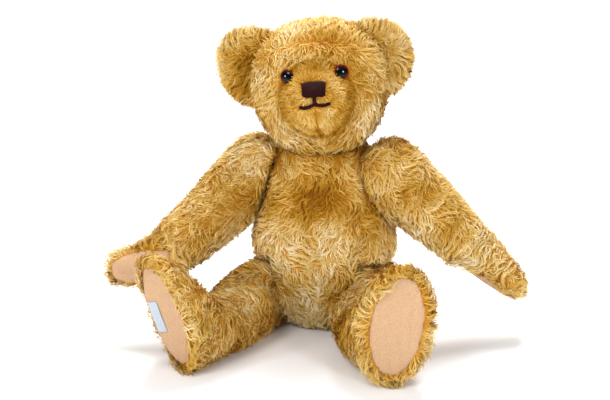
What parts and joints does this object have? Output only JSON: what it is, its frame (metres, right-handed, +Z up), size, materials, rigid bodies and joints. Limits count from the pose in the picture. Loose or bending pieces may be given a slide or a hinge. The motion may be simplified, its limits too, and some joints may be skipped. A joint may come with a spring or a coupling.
{
  "type": "jointed teddy bear",
  "caption": "Sitting jointed bear of wavy golden mohair, with felt pads, shiny eyes and a stitched nose and mouth. The head, arms and legs turn on disc joints.",
  "frame": {"origin": "on the floor, under the middle of the whole sitting bear", "axes": "+Z is up, -Y is the way that the bear faces, and +X is towards its left arm"},
  "size_m": [0.401, 0.2342, 0.3033],
  "materials": {
    "mohair": "wavy pile",
    "felt": "napped",
    "filling": "loose fibre",
    "hardboard": "raw",
    "steel": "zinc plated",
    "eye": "gloss",
    "nylon": "matt",
    "thread": "satin stitch",
    "ribbon": "woven"
  },
  "bodies": {
    "torso": {"torso_skin": "mohair", "torso_stuffing": "filling", "neck_body_disc": "hardboard", "neck_body_washer": "steel", "neck_pin": "steel", "shoulder_right_body_disc": "hardboard", "shoulder_right_body_washer": "steel", "shoulder_right_pin": "steel", "shoulder_left_body_disc": "hardboard", "shoulder_left_body_washer": "steel", "shoulder_left_pin": "steel", "hip_right_body_disc": "hardboard", "hip_right_body_washer": "steel", "hip_right_pin": "steel", "hip_left_body_disc": "hardboard", "hip_left_body_washer": "steel", "hip_left_pin": "steel"},
    "head": {"head_skin": "mohair", "head_stuffing": "filling", "head_disc": "hardboard", "head_washer": "steel", "ear_right": "mohair", "eye_right": "eye", "eye_washer_right": "nylon", "ear_left": "mohair", "eye_left": "eye", "eye_washer_left": "nylon", "nose_embroidery": "thread", "mouth_embroidery": "thread"},
    "arm_right": {"arm_right_skin": "mohair", "arm_right_stuffing": "filling", "arm_right_disc": "hardboard", "arm_right_washer": "steel", "paw_pad_right": "felt"},
    "arm_left": {"arm_left_skin": "mohair", "arm_left_stuffing": "filling", "arm_left_disc": "hardboard", "arm_left_washer": "steel", "paw_pad_left": "felt"},
    "leg_right": {"leg_right_skin": "mohair", "leg_right_stuffing": "filling", "leg_right_disc": "hardboard", "leg_right_washer": "steel", "foot_pad_right": "felt", "foot_label": "ribbon"},
    "leg_left": {"leg_left_skin": "mohair", "leg_left_stuffing": "filling", "leg_left_disc": "hardboard", "leg_left_washer": "steel", "foot_pad_left": "felt"}
  },
  "joints": [
    {"name": "neck", "type": "hinge", "parent": "torso", "child": "head", "pos_m": [-0.00019, 0.05843, 0.18217], "axis": [-0.0377, -0.1159, 0.9925], "continuous": true},
    {"name": "shoulder_right", "type": "hinge", "parent": "torso", "child": "arm_right", "pos_m": [-0.04819, 0.06543, 0.15217], "axis": [-0.9303, 0.1977, 0.309], "range_deg": [-110, 40]},
    {"name": "shoulder_left", "type": "hinge", "parent": "torso", "child": "arm_left", "pos_m": [0.04981, 0.05243, 0.15317], "axis": [-0.9303, 0.1977, -0.309], "range_deg": [-100, 100]},
    {"name": "hip_right", "type": "hinge", "parent": "torso", "child": "leg_right", "pos_m": [-0.02519, 0.05543, 0.03417], "axis": [-0.9249, 0.3737, -0.0698], "range_deg": [-70, 0]},
    {"name": "hip_left", "type": "hinge", "parent": "torso", "child": "leg_left", "pos_m": [0.02581, 0.06043, 0.03417], "axis": [-0.972, -0.2244, 0.0698], "range_deg": [-70, 0]}
  ]
}
